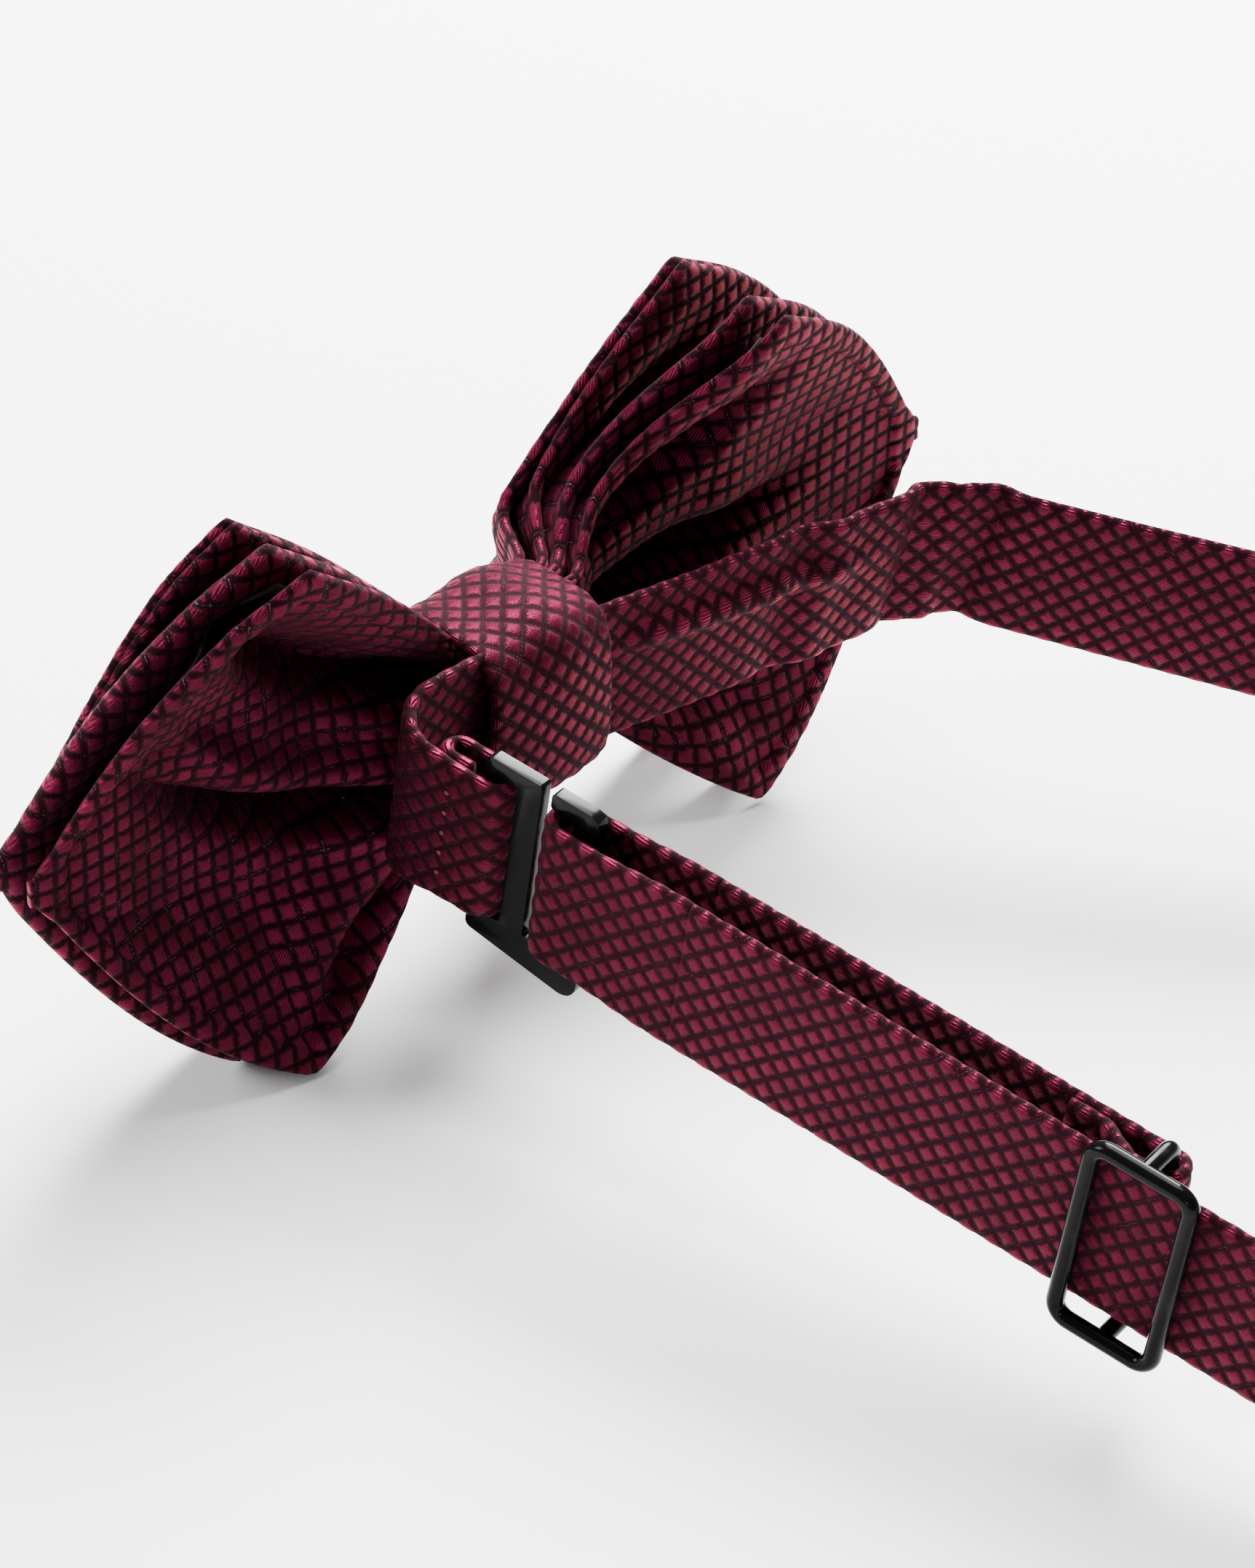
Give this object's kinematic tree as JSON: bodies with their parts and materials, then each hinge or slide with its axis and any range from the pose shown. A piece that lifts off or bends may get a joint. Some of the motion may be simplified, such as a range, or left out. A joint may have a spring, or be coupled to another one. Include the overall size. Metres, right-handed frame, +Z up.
{
  "type": "bow tie",
  "caption": "Pre-tied pointed bow tie in woven burgundy cloth, with a knot, an adjustable neckband, a strap hook and a wire slider.",
  "frame": {"origin": "on the table, under the middle of the bow, which stands on its lower shoulders", "axes": "+X along the bow towards the hook, +Y from the bow towards the wearer, +Z up"},
  "size_m": [0.1629, 0.1744, 0.061],
  "materials": {
    "bow_cloth": "woven squares, slight sheen",
    "strap_cloth": "woven diamonds, slight sheen",
    "felt": "matt felt and stiffening tape",
    "thread": "twisted sewing thread",
    "black_metal": "glossy black coating"
  },
  "bodies": {
    "bow": {"front_bow": "bow_cloth", "front_bow_interlining": "felt", "rear_bow": "bow_cloth", "rear_bow_interlining": "felt", "waist_thread": "thread", "knot_wrap": "bow_cloth", "knot_pad": "felt", "knot_tack": "thread", "band_tack": "thread", "neckband": "strap_cloth", "neckband_interlining": "felt", "neckband_loop": "strap_cloth", "neckband_tail": "strap_cloth", "short_strap": "strap_cloth", "short_strap_interlining": "felt", "short_strap_tack": "thread"},
    "hook": {"strap_hook": "black_metal"},
    "slider": {"strap_slider": "black_metal", "tail_end": "strap_cloth", "slider_tack": "thread"}
  },
  "joints": [
    {"name": "hook_swing", "type": "hinge", "parent": "bow", "child": "hook", "pos_m": [0.02001, 0.015, 0.02854], "axis": [0, 0.1297, 0.9915], "range_deg": [-25, 25], "deforming": ["neckband_loop"]},
    {"name": "slider_slide", "type": "slide", "parent": "bow", "child": "slider", "axis": [-0.1478, 0.9807, -0.1283], "range_m": [-0.024, 0.014], "deforming": ["neckband_tail"]}
  ]
}
